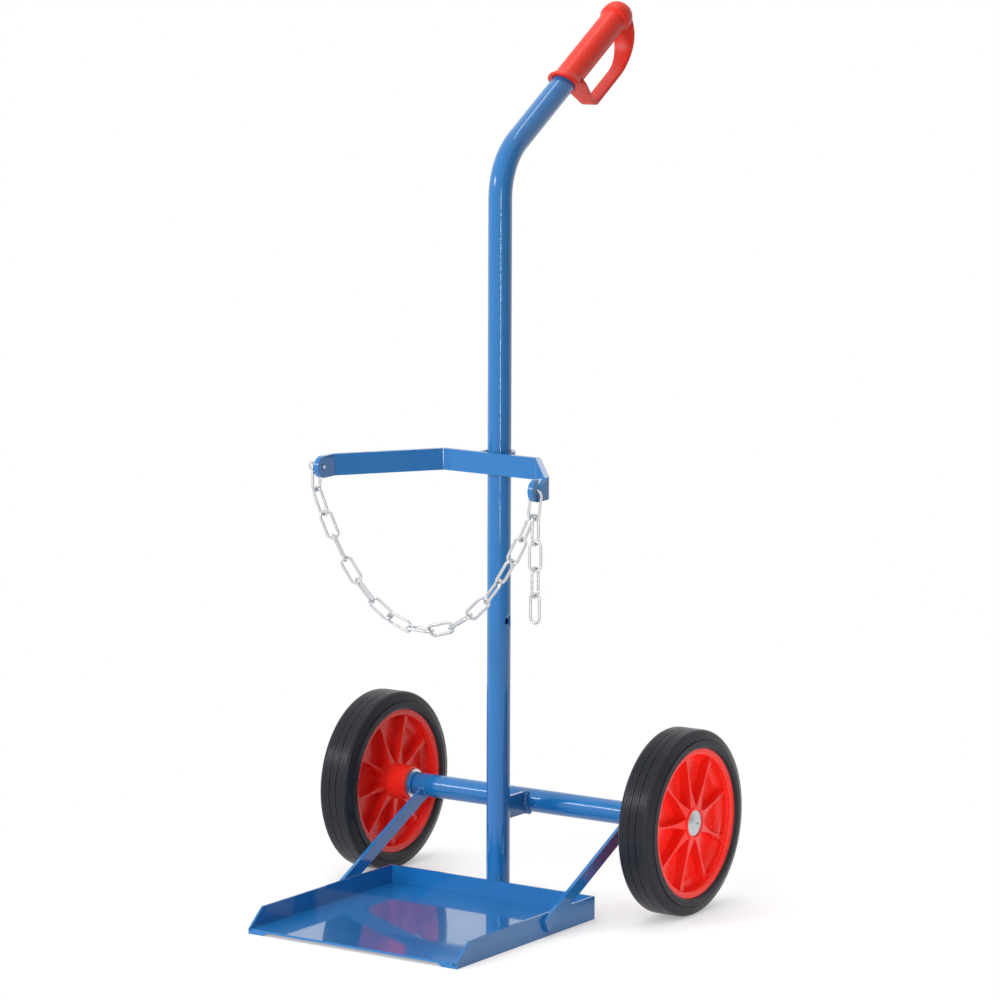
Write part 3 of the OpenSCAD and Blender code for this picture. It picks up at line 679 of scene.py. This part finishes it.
def mix_shaders(tree, factor, first, second):
    """Output of a Mix Shader: first where the factor is 0, second where it is 1."""
    mix = add_node(tree, "ShaderNodeMixShader", Fac=factor)
    feed(tree, mix.inputs[1], first.outputs[0])
    feed(tree, mix.inputs[2], second.outputs[0])
    return mix.outputs[0]


class CART_OT_set_stage(bpy.types.Operator):
    """White floor and surround, soft lamps and the camera"""

    bl_idname = "cart.set_stage"
    bl_label = "Set the stage"

    def execute(self, context):
        look = context.scene.cart_stage
        self.add_floor(look)
        self.light_world(context.scene, look)
        for name, place, aim, width, height, power, spread, gives in LAMPS:
            data = bpy.data.lights.new(name, "AREA")
            data.shape = "RECTANGLE"
            data.size, data.size_y, data.energy = width, height, power
            data.spread = math.radians(spread)
            lamp = bpy.data.objects.new(name, data)
            lamp.matrix_world = aim_matrix(place, aim)
            lamp.visible_glossy = gives != "light"
            lamp.visible_diffuse = gives != "streak"
            context.scene.collection.objects.link(lamp)
        self.place_camera(context.scene, look)
        context.scene.view_settings.view_transform = "Standard"
        return {"FINISHED"}

    def add_floor(self, look):
        """A round floor: white, lit by the lamps near the cart, and plain white further out."""
        angle = np.arange(FLOOR_SIDES) * 2 * math.pi / FLOOR_SIDES
        points = np.stack([look.floor_radius * np.cos(angle), look.floor_radius * np.sin(angle),
                           np.full(FLOOR_SIDES, -FLOOR_DROP)], axis=1)
        mesh = bpy.data.meshes.new("floor")
        mesh.from_pydata(points.tolist(), [], [list(range(FLOOR_SIDES))])
        mesh.materials.append(self.floor_material(look))
        floor = bpy.data.objects.new("floor", mesh)
        bpy.context.scene.collection.objects.link(floor)

    def floor_material(self, look):
        """White that takes the lamps' shadows and a soft contact shade, flat white further out."""
        material = bpy.data.materials.new("Floor white")
        material.use_nodes = True
        tree = material.node_tree
        tree.nodes.clear()
        seen = ray_mask(tree, "Is Camera Ray", "Is Glossy Ray", "Is Transmission Ray")
        grey = add_node(tree, "ShaderNodeMapRange", Value=seen, To_Min=FLOOR_WHITE,
                        To_Max=FLOOR_SEEN)
        lit = add_node(tree, "ShaderNodeBsdfDiffuse", Color=grey.outputs["Result"])
        contact = add_node(tree, "ShaderNodeAmbientOcclusion", {"samples": 12},
                           Distance=CONTACT_REACH)
        shade = add_node(tree, "ShaderNodeMapRange", SMOOTH, Value=contact.outputs["AO"],
                         From_Max=CONTACT_END, To_Min=CONTACT_LEFT * look.floor_lift,
                         To_Max=look.floor_lift)
        strength = add_math(tree, "MULTIPLY", seen, shade.outputs["Result"])
        lift = add_node(tree, "ShaderNodeEmission", Color=WHITE, Strength=strength)
        near = add_node(tree, "ShaderNodeAddShader")
        feed(tree, near.inputs[0], lit.outputs[0])
        feed(tree, near.inputs[1], lift.outputs[0])
        where = add_node(tree, "ShaderNodeTexCoord").outputs["Object"]
        length = add_node(tree, "ShaderNodeVectorMath", {"operation": "LENGTH"})
        feed(tree, length.inputs[0], where)
        fade = add_node(tree, "ShaderNodeMapRange", SMOOTH, Value=length.outputs["Value"],
                        From_Min=FADE_START, From_Max=FADE_END)
        far = add_math(tree, "MULTIPLY", fade.outputs["Result"], seen)
        flat = add_node(tree, "ShaderNodeEmission", Color=WHITE, Strength=1.0)
        add_node(tree, "ShaderNodeOutputMaterial", Surface=mix_shaders(tree, far, near, flat))
        return material

    def light_world(self, scene, look):
        """A white surround with a dark side to the right, full in reflections, softer as light."""
        world = bpy.data.worlds.new("Studio")
        scene.world = world
        world.use_nodes = True
        tree = world.node_tree
        tree.nodes.clear()
        side = add_node(tree, "ShaderNodeVectorMath", {"operation": "DOT_PRODUCT"})
        feed(tree, side.inputs[0], add_node(tree, "ShaderNodeTexCoord").outputs["Generated"])
        feed(tree, side.inputs[1], DARK_SIDE)
        tone = add_node(tree, "ShaderNodeMapRange", SMOOTH, Value=side.outputs["Value"],
                        From_Min=DARK_START, From_Max=DARK_END, To_Min=1.0,
                        To_Max=look.shade).outputs["Result"]
        level = add_node(tree, "ShaderNodeMapRange", Value=ray_mask(tree, "Is Glossy Ray"),
                         To_Min=add_math(tree, "MULTIPLY", tone, look.ambient), To_Max=tone)
        light = add_node(tree, "ShaderNodeBackground", Color=WHITE,
                         Strength=level.outputs["Result"])
        seen = add_node(tree, "ShaderNodeBackground", Color=WHITE, Strength=1.0)
        direct = ray_mask(tree, "Is Camera Ray", "Is Transmission Ray")
        add_node(tree, "ShaderNodeOutputWorld", Surface=mix_shaders(tree, direct, light, seen))

    def place_camera(self, scene, look):
        """A long-lens camera that looks at the aim from its azimuth and elevation."""
        az, el, roll = look.azimuth, look.elevation, look.roll
        back = Vector((math.sin(az) * math.cos(el), -math.cos(az) * math.cos(el), math.sin(el)))
        right = Vector((math.cos(az), math.sin(az), 0))
        up = back.cross(right)
        across = math.cos(roll) * right + math.sin(roll) * up
        above = math.cos(roll) * up - math.sin(roll) * right
        data = bpy.data.cameras.new("camera")
        data.sensor_width = 36
        data.lens = look.lens
        data.clip_end = 100
        camera = bpy.data.objects.new("camera", data)
        turn = Matrix((across, above, back)).transposed().to_4x4()
        camera.matrix_world = Matrix.Translation(Vector(look.aim) + back * look.distance) @ turn
        scene.collection.objects.link(camera)
        scene.camera = camera


# ---------------------------------------------------------------- add-on

class CART_PT_panel(bpy.types.Panel):
    """Lists the cart's finishes and pieces in the sidebar"""

    bl_idname = "CART_PT_panel"
    bl_label = "Cylinder cart"
    bl_space_type = "VIEW_3D"
    bl_region_type = "UI"
    bl_category = "Cart"

    def draw(self, context):
        for name, label, _ in SETTINGS:
            box = self.layout.box()
            box.label(text=label)
            group_settings = getattr(context.scene, name)
            for key in group_settings.__annotations__:
                box.prop(group_settings, key)
        for operator in OPERATORS:
            self.layout.operator(operator.bl_idname)


SETTINGS = (
    ("cart_paint", "Painted steel", CartPaintSettings),
    ("cart_plastic", "Plastic", CartPlasticSettings),
    ("cart_rubber", "Rubber", CartRubberSettings),
    ("cart_metal", "Metal", CartMetalSettings),
    ("cart_stage", "Stage", CartStageSettings),
)
OPERATORS = (
    CART_OT_paint_steel,
    CART_OT_weld_steel,
    CART_OT_mould_plastic,
    CART_OT_fit_tyres,
    CART_OT_plate_metal,
    CART_OT_set_stage,
)


def register():
    """Registers every class, and hangs the settings on the scene."""
    for name, _, settings in SETTINGS:
        bpy.utils.register_class(settings)
        setattr(bpy.types.Scene, name, bpy.props.PointerProperty(type=settings))
    for kind in (*OPERATORS, CART_PT_panel):
        bpy.utils.register_class(kind)


def unregister():
    """Takes everything off again in reverse order."""
    for kind in reversed((*OPERATORS, CART_PT_panel)):
        bpy.utils.unregister_class(kind)
    for name, _, settings in reversed(SETTINGS):
        delattr(bpy.types.Scene, name)
        bpy.utils.unregister_class(settings)


def main():
    """Builds the cart's looks in order."""
    register()
    bpy.ops.cart.paint_steel()
    bpy.ops.cart.weld_steel()
    bpy.ops.cart.mould_plastic()
    bpy.ops.cart.fit_tyres()
    bpy.ops.cart.plate_metal()
    bpy.ops.cart.set_stage()


if __name__ == "__main__":
    main()
